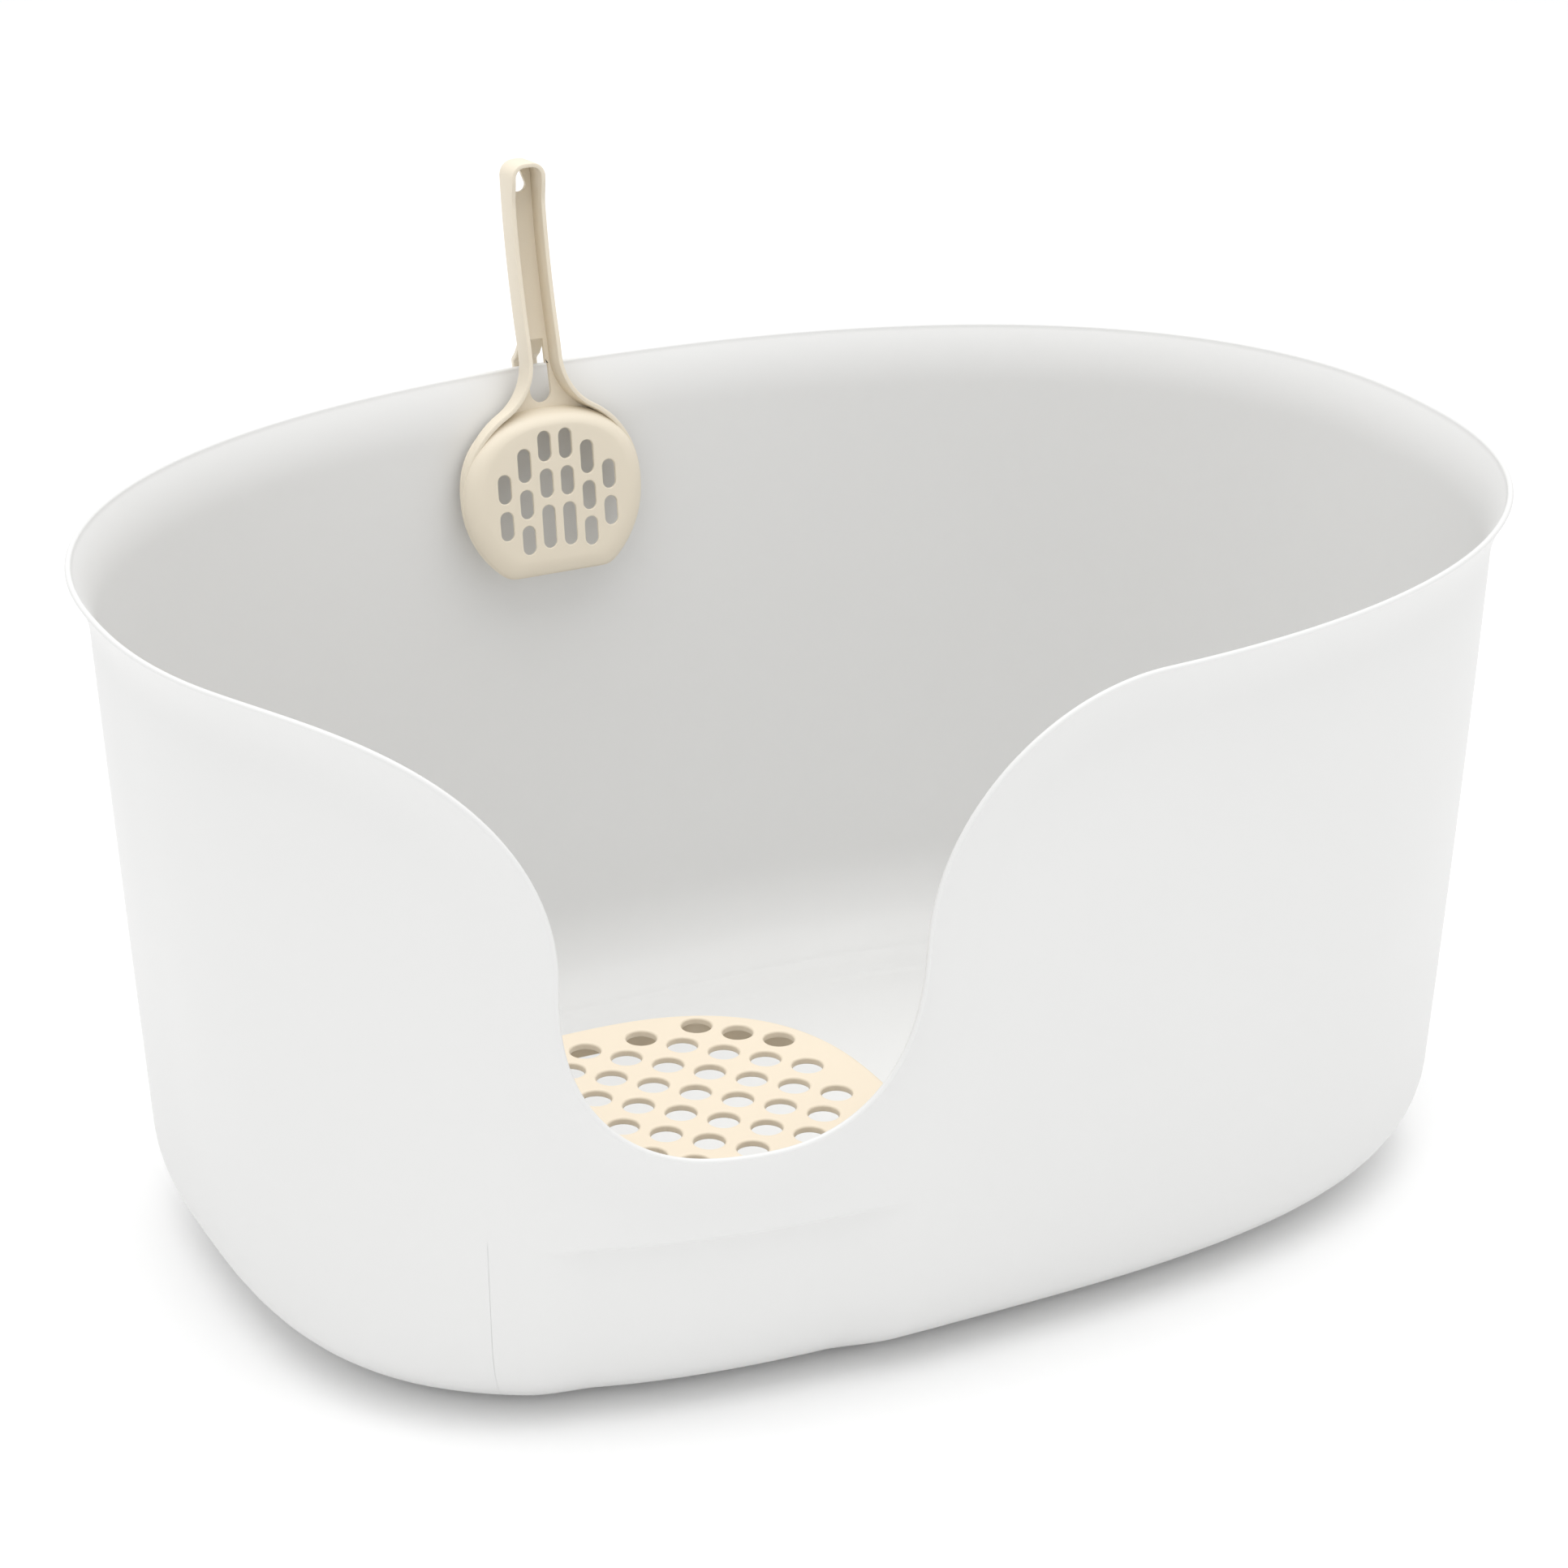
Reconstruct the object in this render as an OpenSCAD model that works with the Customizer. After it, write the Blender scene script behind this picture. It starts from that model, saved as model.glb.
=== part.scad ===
// Open-top oval litter box: a high-walled tub with a low entry, a perforated
// step grate that lifts out, and a scoop that hooks on the back rim.
// Millimetres, +Z up, origin on the floor under the tub's middle, entry
// towards -Y.

/* [Tub] */
// Overall length over the rim
tub_length = 600; // [560:5:640]
// Overall depth over the rim
tub_depth = 418; // [390:2:440]
// Overall height
tub_height = 300; // [280:5:330]
// How far the wall leans in from rim to foot
wall_draft = 24; // [15:1:30]
// Wall and floor thickness
wall_thick = 2.6; // [2:0.1:3.5]
// Radius between the outer wall and the underside
foot_radius = 46; // [30:1:55]

/* [Rim] */
// How far the rolled edge stands out from the wall
lip_out = 7; // [5:0.5:9]
// Height of the flared band under the edge
flare_band = 26; // [20:1:30]

/* [Entry] */
// Middle of the entry, left of the tub's middle
entry_x = -120; // [-130:1:-100]
// Height of the entry's lowest point
entry_z = 125; // [120:1:150]
// Half the width of the entry at its upright sides
entry_half = 66; // [55:1:72]
// Height at which the sides turn into the shoulders
shoulder_z = 203.5; // [190:0.5:215]
// Half the width from shoulder to shoulder
shoulder_half = 158; // [140:1:165]

/* [Step panel] */
// Height of the ledge under the entry
ledge_z = 87.5; // [80:0.5:90]
// Depth of the recessed panel that forms the ledge
panel_depth = 4; // [3:0.5:6]
// Half the width of the panel
panel_half = 62; // [50:1:66]

/* [Step grate] */
// Height of the grate's top face
grate_top = 98.5; // [95:0.5:104]
// Thickness of the perforated plate
grate_thick = 3; // [2.5:0.1:4]
// Depth of the skirt, plate included
skirt_depth = 12; // [10:0.5:12]
// Half the width of the grate
grate_half = 96; // [90:1:100]
// Distance between neighbouring holes
hole_pitch = 17.6; // [17:0.1:18]
// Hole diameter
hole_d = 12.4; // [11:0.2:13]

/* [Scoop] */
// Where the scoop hangs along the back rim
scoop_x = -32; // [-60:1:20]
// Lean of the dish from upright
scoop_lean = 14.5; // [13:0.5:16]
// Half the width of the dish
dish_half = 43; // [41:0.5:44]
// Depth of the dish
dish_depth = 13; // [10:0.5:15]
// Width of the handle
handle_w = 16; // [14:1:20]
// Depth of the handle's channel
channel_d = 12; // [9:1:14]
// Length of the handle above the neck
handle_len = 86; // [70:1:100]
// Wall thickness of the scoop
scoop_thick = 2.2; // [2:0.1:2.6]

/* [Hidden] */

// Plan curve: a superellipse whose half axes and exponent change with height
top_a = tub_length / 2 - lip_out;
top_b = tub_depth / 2 - lip_out;
rim_power = 2.25;
foot_power = 2.9;
function rise(z) = z / tub_height;
function half_a(z) = top_a - wall_draft * (1 - rise(z));
function half_b(z) = top_b - wall_draft * (1 - rise(z));
function power(z) = foot_power + (rim_power - foot_power) * rise(z);
function signed_pow(v, p) = sign(v) * pow(abs(v), p);

// Wall point in the polar direction t at height z
function polar_r(t, z) = let(n = power(z))
    pow(pow(abs(cos(t)) / half_a(z), n) + pow(abs(sin(t)) / half_b(z), n), -1 / n);
function wall_polar(t, z) = [polar_r(t, z) * cos(t), polar_r(t, z) * sin(t), z];

// Front wall point over a given x at height z
function wall_front(x, z) = let(n = power(z), q = min(abs(x) / half_a(z), 0.999))
    [x, -half_b(z) * pow(1 - pow(q, n), 1 / n), z];

// Horizontal unit normal of the plan curve at a wall point
function wall_normal(p) = let(n = power(p.z),
    gx = signed_pow(p.x / half_a(p.z), n - 1) / half_a(p.z),
    gy = signed_pow(p.y / half_b(p.z), n - 1) / half_b(p.z)) [gx, gy, 0] / norm([gx, gy]);

// Edge of the entry seen from the front: [x, z, inward x, inward z]
low_power = 2 / 2.5;
shoulder_w = shoulder_half - entry_half;
shoulder_h = tub_height - shoulder_z;
low_h = shoulder_z - entry_z;
function unit2(v) = v / norm(v);
function shoulder(f, side) = concat(
    [entry_x + side * (entry_half + shoulder_w * (1 - cos(f))), shoulder_z + shoulder_h * sin(f)],
    unit2([side * cos(f) / shoulder_w, -sin(f) / shoulder_h]));
function low_edge(f) = concat(
    [entry_x + entry_half * signed_pow(sin(f), low_power),
     shoulder_z - low_h * pow(cos(f), low_power)],
    unit2([signed_pow(sin(f), 2 - low_power) / entry_half, -pow(cos(f), 2 - low_power) / low_h]));
entry_path = concat(
    [for (f = [80 : -10 : 10]) shoulder(f, -1)],
    [for (f = [-88, -80, -70, -60, -48, -36, -24, -12, 0, 12, 24, 36, 48, 60, 70, 80, 88]) low_edge(f)],
    [for (f = [10 : 10 : 80]) shoulder(f, 1)]);

// The rest of the rim, from the right shoulder round the back to the left one
right_start = wall_front(entry_x + shoulder_half, tub_height);
left_end = wall_front(entry_x - shoulder_half, tub_height);
right_angle = atan2(right_start.y, right_start.x);
left_angle = atan2(left_end.y, left_end.x) + 360;
plain_columns = 64;
plain_angles = [for (i = [0 : plain_columns])
    right_angle + (left_angle - right_angle) * i / plain_columns];

// Edge profile: [distance in from the edge, distance out from the wall]
function flare(s) = lip_out * pow((flare_band - s) / (flare_band - 1.3), 2.1);
edge_profile = concat(
    [for (s = [flare_band, 16, 8, 3.5, 1.3]) [s, flare(s)]],
    [[0.3, lip_out - 0.4], [0, lip_out - 1.4], [0.4, lip_out - 2.4]],
    [for (s = [1.8, 3.5, 8, 16, flare_band]) [s, flare(s) - wall_thick]]);

function plain_edge(t, s) = wall_polar(t, tub_height - s);
function entry_edge(e, s) = wall_front(e[0] + s * e[2], e[1] + s * e[3]);

// Recessed panel under the entry: long soft sides, a sharp top at the ledge
panel_side = 30;
function ramp(v) = v <= 0 ? 0 : v >= 1 ? 1 : v * v * (3 - 2 * v);
function panel(x, y, step) =
    y > 0 ? 0 : panel_depth * step * ramp((panel_half + panel_side / 2 - abs(x - entry_x)) / panel_side);

// Lower part of a column, [height, inset beyond the wall, 1 below the ledge]
fillet_steps = [0, 18, 36, 54, 72, 90];
function lower_outer(z_from) = concat(
    [for (f = [len(fillet_steps) - 1 : -1 : 0])
        [foot_radius * (1 - sin(fillet_steps[f])), foot_radius * (1 - cos(fillet_steps[f])), 1]],
    [[ledge_z - 4, 0, 1], [ledge_z, 0, 0], [(z_from + ledge_z) / 2, 0, 0]]);
inner_radius = foot_radius - wall_thick;
function lower_inner(z_from) = concat(
    [[(z_from + ledge_z) / 2, wall_thick, 0], [ledge_z + 1.6, wall_thick, 0],
     [ledge_z, wall_thick, 1]],
    [for (f = fillet_steps)
        [wall_thick + inner_radius * (1 - sin(f)), wall_thick + inner_radius * (1 - cos(f)), 1]]);
function lower_point(t, l) = let(p = wall_polar(t, l[0]),
    inset = l[1] + panel(p.x, p.y, l[2])) p - inset * wall_normal(p);
function angle_of(p) = atan2(p.y, p.x);

// One closed column of points from the underside, over the edge, to the floor
function column(edge_points, t) = concat(
    [for (l = lower_outer(edge_points[0].z)) lower_point(t, l)],
    edge_points,
    [for (l = lower_inner(edge_points[0].z)) lower_point(t, l)]);
function lifted(p, o) = p + o * wall_normal(p);
columns = concat(
    [for (t = plain_angles)
        column([for (e = edge_profile) lifted(plain_edge(t, e[0]), e[1])], t)],
    [for (c = entry_path)
        column([for (e = edge_profile) lifted(entry_edge(c, e[0]), e[1])],
               angle_of(entry_edge(c, flare_band)))]);

module tub() {
    rows = len(columns[0]);
    count = len(columns);
    points = [for (c = columns) each c];
    walls = [for (i = [0 : count - 1]) for (k = [0 : rows - 2])
        let(a = i * rows + k, b = ((i + 1) % count) * rows + k)
        each [[a, a + 1, b + 1], [a, b + 1, b]]];
    underside = [for (i = [0 : count - 1]) i * rows];
    floor_face = [for (i = [count - 1 : -1 : 0]) i * rows + rows - 1];
    color("white")
        polyhedron(points = points, faces = concat(walls, [underside, floor_face]), convexity = 8);
}

// Step grate: outline of the plate, drawn in by a margin
rear_y = -23;
side_y = -113;
grate_power = 2.6;
wall_gap = 1.2;
leg_gap = 0.2;
floor_z = wall_thick + leg_gap;
function grate_rear(m) = [for (f = [0 : 7.5 : 180])
    [entry_x + (grate_half - m) * signed_pow(cos(f), 2 / grate_power),
     side_y + (rear_y - side_y - m) * pow(sin(f), 2 / grate_power)]];
function grate_front(m) = [for (i = [0 : 12])
    let(x = entry_x - (grate_half - m) * (1 - i / 6), z = ledge_z + 2,
        p = wall_front(x, z))
    [x, p.y - (wall_thick + wall_gap + m) / wall_normal(p).y]];
function grate_outline(m) = concat(grate_rear(m), grate_front(m));

// Holes on a square lattice turned by 45 degrees, kept in from the outline
half_step = hole_pitch / sqrt(2);
first_row = rear_y - 17.4;
grate_rows = [5, 6, 7, 6, 7, 6, 7, 6, 5];
module grate_holes() {
    for (r = [0 : len(grate_rows) - 1])
        for (i = [0 : grate_rows[r] - 1])
            translate([entry_x + (2 * i - grate_rows[r] + 1) * half_step, first_row - r * half_step])
                circle(d = hole_d, $fn = 32);
}

// Two legs: one in the rear left corner, one in the middle of the right side
leg_w = 18;
leg_x = 78;
// In front of front_y the skirt ends just above the tub's ledge
front_y = -128;
ledge_top = ledge_z + 1.6;
ledge_gap = 0.4;
module step_grate() {
    color("oldlace") union() {
        translate([0, 0, grate_top - grate_thick])
            linear_extrude(grate_thick)
                difference() {
                    polygon(grate_outline(0));
                    grate_holes();
                }
        difference() {
            translate([0, 0, grate_top - skirt_depth])
                linear_extrude(skirt_depth)
                    difference() {
                        polygon(grate_outline(0));
                        polygon(grate_outline(2.2));
                    }
            translate([entry_x - grate_half - 1, front_y - 60, 0])
                cube([2 * grate_half + 2, 60, ledge_top + ledge_gap]);
        }
        translate([0, 0, floor_z])
            linear_extrude(grate_top - floor_z)
                intersection() {
                    difference() {
                        polygon(grate_outline(0));
                        polygon(grate_outline(2.2));
                    }
                    union() {
                        translate([entry_x - leg_x - leg_w / 2, side_y])
                            square([leg_w, rear_y - side_y + 10]);
                        translate([entry_x + grate_half - 10, side_y - leg_w / 2])
                            square([20, leg_w]);
                    }
                }
    }
}

// Scoop, drawn flat: x across, y up from the dish's lower edge, z towards the
// front. The dish is hollow towards -Z and the handle's channel opens to +Z.
dish_y = 36;
dish_r = dish_half;
lip_half = 25.5;
chamfer_y = 19;
rim_level = 90;
slot_w = 6.3;
column_step = 10;
// [column offset in steps, middle height, slot length]
slots = [[0.5, 57.8, 13.5], [0.5, 41.3, 13], [0.5, 22, 19.3],
         [1.5, 50.4, 15], [1.5, 33.2, 13], [1.5, 17.2, 13],
         [2.5, 41.3, 13], [2.5, 24.9, 13]];
module slot_shape(length) {
    square([slot_w, length - slot_w], center = true);
    for (end = [-1, 1])
        translate([0, end * (length - slot_w) / 2])
            circle(d = slot_w, $fn = 24);
}
module scoop_slots() {
    for (side = [-1, 1], s = slots)
        translate([side * s[0] * column_step, s[1]])
            slot_shape(s[2]);
}
module dish_shape(m) {
    polygon([[-lip_half + m * 0.5, m], [lip_half - m * 0.5, m], [dish_r - m, chamfer_y + m * 0.4],
             [dish_r - m, dish_y], [-dish_r + m, dish_y], [-dish_r + m, chamfer_y + m * 0.4]]);
    translate([0, dish_y])
        circle(r = dish_r - m, $fn = 72);
}
flare_r = 26;
flare_y = 98;
module neck_shape(m) {
    half = handle_w / 2 - m;
    difference() {
        translate([-half - 18, dish_y + 20])
            square([2 * half + 36, flare_y - dish_y - 20]);
        for (side = [-1, 1])
            translate([side * (half + flare_r), flare_y])
                circle(r = flare_r, $fn = 64);
    }
}
module scoop_shape(m) {
    dish_shape(m);
    neck_shape(m);
}
// The dish gets deeper from its lower edge towards the neck
bulge_foot = 1.6;
bulge_inset = 8;
bulge_slope = 0.12;
bulge_low = dish_depth - 0.4 - bulge_slope * (dish_y + dish_r - bulge_inset);
module bulge(m) {
    hull() {
        translate([0, 0, -m])
            linear_extrude(0.4)
                dish_shape(bulge_foot + m);
        multmatrix([[1, 0, 0, 0], [0, 1, 0, 0], [0, bulge_slope, 1, bulge_low - m]])
            linear_extrude(0.4)
                dish_shape(bulge_inset + m);
    }
}
band_low = 30;
band_top = 86;
module flat_body() {
    difference() {
        linear_extrude(scoop_thick)
            scoop_shape(0);
        translate([0, 0, -1])
            linear_extrude(scoop_thick + 2)
                dish_shape(bulge_foot + scoop_thick);
    }
    intersection() {
        linear_extrude(channel_d)
            difference() {
                scoop_shape(0);
                scoop_shape(scoop_thick);
            }
        union() {
            translate([-dish_r - 1, band_top, 0])
                cube([2 * dish_r + 2, 40, channel_d]);
            translate([-dish_r - 1, 0, 0])
                rotate([90, 0, 90])
                    linear_extrude(2 * dish_r + 2)
                        polygon([[band_low, 0], [band_top, 0], [band_top, channel_d],
                                 [band_low, scoop_thick]]);
        }
    }
    difference() {
        bulge(0);
        bulge(scoop_thick);
    }
}
neck_slot_w = 10;
neck_slot_low = rim_level - 14;
slot_step = rim_level + 2.6;
module scoop_flat() {
    difference() {
        flat_body();
        translate([0, 0, 0.8])
            linear_extrude(dish_depth)
                scoop_slots();
        translate([-neck_slot_w / 2, neck_slot_low, -1])
            cube([neck_slot_w, slot_step - neck_slot_low, scoop_thick + 2]);
    }
}

// Handle: a channel swept along an arc that straightens up towards the top
handle_back = 5.7;
arc_deg = 15;
arc_r = handle_len / (arc_deg * PI / 180);
end_deg = 0.4;
hang_d = 8;
module channel_profile() {
    translate([-channel_d, -handle_w / 2])
        difference() {
            square([channel_d, handle_w]);
            translate([-scoop_thick, scoop_thick])
                square([channel_d, handle_w - 2 * scoop_thick]);
        }
}
module handle() {
    translate([0, flare_y - 1, 0])
        rotate([-handle_back, 0, 0])
            translate([0, 0, arc_r])
                rotate([0, 90, 0])
                    difference() {
                        union() {
                            rotate_extrude(angle = arc_deg, $fn = 360)
                                translate([arc_r, 0])
                                    channel_profile();
                            rotate([0, 0, arc_deg - end_deg])
                                rotate_extrude(angle = end_deg, $fn = 360)
                                    translate([arc_r - channel_d, -handle_w / 2])
                                        square([channel_d, handle_w]);
                        }
                        rotate([0, 0, arc_deg - 1.7])
                            translate([arc_r - 4, 0, 0])
                                rotate([0, 90, 0])
                                    cylinder(d = hang_d, h = 8, $fn = 32);
                    }
}

// Hook: leaves the back above a window, slopes back over the edge and hangs
// down behind it. [up the scoop, towards the front]
hook_gap = 11.5;
hook_w = 9;
hook_low = rim_level - 11.4;
hook_section = [[103.4, 1], [103.4, -1], [96, -8.2], [94.2, -hook_gap], [hook_low, -hook_gap],
                [hook_low, -hook_gap - scoop_thick], [95.4, -hook_gap - scoop_thick],
                [98.6, -9.4], [106.2, -2], [106.2, 1]];
module hook() {
    translate([-hook_w / 2, 0, 0])
        rotate([90, 0, 90])
            linear_extrude(hook_w)
                polygon(hook_section);
}
window_w = 7.4;
window_top = 103.4;
module window() {
    translate([-window_w / 2, slot_step - 1, -3])
        cube([window_w, window_top - slot_step + 1, 6]);
}
scoop_y = 198.2;
module scoop() {
    color("wheat")
        translate([scoop_x, scoop_y, tub_height])
            rotate([90 - scoop_lean, 0, 0])
                translate([0, -rim_level, 0]) {
                    difference() {
                        union() {
                            scoop_flat();
                            handle();
                        }
                        window();
                    }
                    hook();
                }
}

tub();
step_grate();
scoop();
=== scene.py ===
"""Open-top oval litter tub with a step grate and a hooked scoop."""

import math

import bpy
import numpy as np
from bpy.props import FloatProperty, FloatVectorProperty, PointerProperty
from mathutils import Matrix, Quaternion, Vector
from mathutils.geometry import delaunay_2d_cdt


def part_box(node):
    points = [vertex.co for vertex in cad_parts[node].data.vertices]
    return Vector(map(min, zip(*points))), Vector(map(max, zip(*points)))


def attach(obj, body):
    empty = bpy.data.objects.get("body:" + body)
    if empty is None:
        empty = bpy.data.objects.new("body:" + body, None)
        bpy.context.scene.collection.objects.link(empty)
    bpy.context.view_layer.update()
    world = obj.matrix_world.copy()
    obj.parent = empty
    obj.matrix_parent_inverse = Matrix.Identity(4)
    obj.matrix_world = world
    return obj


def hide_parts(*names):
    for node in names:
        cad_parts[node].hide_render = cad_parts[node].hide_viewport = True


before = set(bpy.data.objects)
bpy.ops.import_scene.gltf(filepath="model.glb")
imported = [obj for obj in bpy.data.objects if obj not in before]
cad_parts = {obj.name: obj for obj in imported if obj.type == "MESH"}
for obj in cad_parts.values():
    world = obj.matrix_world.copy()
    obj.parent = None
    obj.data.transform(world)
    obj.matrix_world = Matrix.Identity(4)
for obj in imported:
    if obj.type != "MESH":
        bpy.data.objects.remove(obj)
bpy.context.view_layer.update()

bl_info = {
    "name": "Oval Litter Tub",
    "version": (1, 0, 0),
    "blender": (4, 5, 0),
    "location": "View3D > Sidebar > Litter Tub",
    "description": "Builds an oval litter tub, its step grate and its scoop",
    "category": "Add Mesh",
}

MM = 0.001
TUB_LOW, TUB_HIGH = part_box("tub")
GRATE_LOW, GRATE_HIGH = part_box("step_grate")


# ---------------------------------------------------------------------------
# Colours and nodes


def linear(hex_colour):
    """Turns an sRGB hex colour into linear red, green, blue and alpha."""
    value = hex_colour.lstrip("#")
    srgb = np.array([int(value[i:i + 2], 16) for i in (0, 2, 4)]) / 255.0
    low = srgb / 12.92
    high = ((srgb + 0.055) / 1.055) ** 2.4
    return (*np.where(srgb <= 0.04045, low, high).tolist(), 1.0)


def length(name, description, default):
    """A size in metres, shown in the scene's own unit."""
    return FloatProperty(name=name, description=description, default=default, min=0.0,
                         unit="LENGTH", subtype="DISTANCE", precision=4)


def place(name, description, default):
    """A coordinate in metres, which may be negative."""
    return FloatProperty(name=name, description=description, default=default,
                         unit="LENGTH", subtype="DISTANCE", precision=4)


def colour(name, description, hex_colour):
    """A linear colour whose default is given as sRGB hex."""
    return FloatVectorProperty(name=name, description=description, subtype="COLOR", size=4,
                               min=0.0, max=1.0, default=linear(hex_colour))


class TubSizes(bpy.types.PropertyGroup):
    """Sizes of the tub, in metres."""

    length: length("Length", "Overall length over the rim", 600 * MM)
    depth: length("Depth", "Overall depth over the rim", 418 * MM)
    height: length("Height", "Height of the rim above the floor", TUB_HIGH.z)
    draft: length("Draft", "How far the wall leans in from rim to foot", 24 * MM)
    wall: length("Wall", "Wall and floor thickness", 2.6 * MM)
    foot_radius: length("Foot radius", "Radius between wall and underside", 46 * MM)
    lip: length("Lip", "How far the rolled edge stands out", 7 * MM)
    flare: length("Flare", "Height of the flared band under the edge", 26 * MM)
    entry_x: place("Entry place", "Middle of the entry", -120 * MM)
    entry_z: length("Entry height", "Height of the entry's lowest point", 125 * MM)
    entry_half: length("Entry half width", "Half the width at the upright sides", 66 * MM)
    shoulder_z: length("Shoulder height", "Where the sides turn outwards", 203.5 * MM)
    shoulder_half: length("Shoulder half width", "Half the width at the rim", 158 * MM)
    ledge_z: length("Ledge height", "Ledge under the entry", 87.5 * MM)
    panel_depth: length("Panel depth", "Depth of the recessed panel", 4 * MM)
    panel_half: length("Panel half width", "Half the width of the panel", 62 * MM)
    panel_side: length("Panel side", "Width of the panel's soft sides", 30 * MM)


class GrateSizes(bpy.types.PropertyGroup):
    """Sizes of the step grate, in metres."""

    top: length("Top", "Height of the top face", GRATE_HIGH.z)
    thick: length("Thickness", "Thickness of the plate", 3 * MM)
    skirt: length("Skirt", "Depth of the skirt, plate included", 12 * MM)
    half: length("Half width", "Half the width of the grate", 96 * MM)
    pitch: length("Pitch", "Distance between neighbouring holes", 17.6 * MM)
    hole: length("Hole", "Hole diameter", 12.4 * MM)
    edge: length("Edge", "Rounding of the hole edges", 1.0 * MM)


class ScoopSizes(bpy.types.PropertyGroup):
    """Sizes of the scoop, in metres."""

    x: place("Place", "Where the scoop hangs along the rim", -32 * MM)
    y: place("Depth place", "The dish plane at rim height", 198.2 * MM)
    lean: FloatProperty(name="Lean", description="Lean of the dish from upright",
                        default=math.radians(14.5), subtype="ANGLE")
    dish: length("Dish", "Half the width of the dish", 43 * MM)
    deep: length("Dish depth", "Depth of the dish", 13 * MM)
    handle: length("Handle", "Width of the handle", 16 * MM)
    channel: length("Channel", "Depth of the handle's channel", 12 * MM)
    reach: length("Reach", "Length of the handle above the neck", 85.6 * MM)
    thick: length("Thickness", "Wall thickness", 2.2 * MM)


class Finishes(bpy.types.PropertyGroup):
    """Colours of the parts."""

    tub: colour("Tub", "White polypropylene", "#E3E3E2")
    grate: colour("Grate", "Cream polypropylene", "#E6D9C4")
    scoop: colour("Scoop", "Cream polypropylene", "#E8DECB")
    ground: colour("Floor", "Pale floor", "#FFFFFF")


class StageSizes(bpy.types.PropertyGroup):
    """Camera and light."""

    azimuth: FloatProperty(name="Azimuth", description="Camera angle round the tub",
                           default=math.radians(-27.72), subtype="ANGLE")
    elevation: FloatProperty(name="Elevation", description="Camera angle above the floor",
                             default=math.radians(24.46), subtype="ANGLE")
    roll: FloatProperty(name="Roll", description="Turn of the camera about its own line of sight",
                        default=math.radians(0.87), subtype="ANGLE")
    distance: length("Distance", "From the camera to its target", 1.741)
    lens: FloatProperty(name="Lens", description="Focal length in millimetres on 36 mm",
                        default=90.9)
    target: FloatVectorProperty(name="Target", description="Point the camera looks at",
                                size=3, subtype="TRANSLATION",
                                default=(0.0343, 0.0852, 0.1341))


# ---------------------------------------------------------------------------
# Mesh tools


def grid_quads(rows, columns, start=0, closed=True):
    """Quads of a grid of points: row by row, the last column joined to the first if closed."""
    index = start + np.arange(rows * columns).reshape(rows, columns)
    right = np.roll(index, -1, axis=1) if closed else index[:, 1:]
    left = index if closed else index[:, :-1]
    quads = np.stack([left[:-1], right[:-1], right[1:], left[1:]], axis=-1)
    return quads.reshape(-1, 4)


def facing_out(points, faces):
    """Turns a closed surface right side out: its enclosed volume must be positive."""
    volume = 0.0
    for group in faces:
        for k in range(1, group.shape[1] - 1):
            a, b, c = points[group[:, 0]], points[group[:, k]], points[group[:, k + 1]]
            volume += np.einsum("ij,ij->", a, np.cross(b, c))
    return [group[:, ::-1] for group in faces] if volume < 0 else faces


def add_piece(name, shells, material, body, nodes, sharp=35.0):
    """Puts closed shells into one mesh object that rides on a body and stands for CAD nodes.

    Each shell is (points, [faces by corner count]). Edges over the sharp angle stay crisp.
    """
    points, corners, totals, start = [], [], [], 0
    for shell_points, shell_faces in shells:
        for group in facing_out(shell_points, shell_faces):
            corners.append((group + start).ravel())
            totals.append(np.full(len(group), group.shape[1]))
        points.append(shell_points)
        start += len(shell_points)
    points, corners, totals = (np.concatenate(a) for a in (points, corners, totals))
    mesh = bpy.data.meshes.new(name)
    mesh.vertices.add(len(points))
    mesh.vertices.foreach_set("co", points.astype(np.float32).ravel())
    mesh.loops.add(len(corners))
    mesh.loops.foreach_set("vertex_index", corners.astype(np.int32))
    mesh.polygons.add(len(totals))
    mesh.polygons.foreach_set("loop_start", (np.cumsum(totals) - totals).astype(np.int32))
    mesh.update(calc_edges=True)
    if mesh.validate():
        raise RuntimeError(f"{name} has faces that Blender had to mend")
    mesh.polygons.foreach_set("use_smooth", np.ones(len(totals), bool))
    mesh.set_sharp_from_angle(angle=math.radians(sharp))
    mesh.materials.append(material)
    piece = bpy.data.objects.new(name, mesh)
    bpy.context.scene.collection.objects.link(piece)
    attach(piece, body)
    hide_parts(*nodes)
    return piece


def loop_normals(loop):
    """Unit normals of a closed flat loop, to the right of its direction of travel."""
    along = np.roll(loop, -1, axis=0) - np.roll(loop, 1, axis=0)
    along /= np.linalg.norm(along, axis=1, keepdims=True)
    return np.stack([along[:, 1], -along[:, 0]], axis=1)


def carried(loop, normals, profile):
    """Carries a profile of (offset, height) rows along a flat loop: a grid of points."""
    flat = loop[None] + profile[:, None, :1] * normals[None]
    height = np.broadcast_to(profile[:, None, 1:], flat.shape[:2] + (1,))
    return np.concatenate([flat, height], axis=2)


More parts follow.
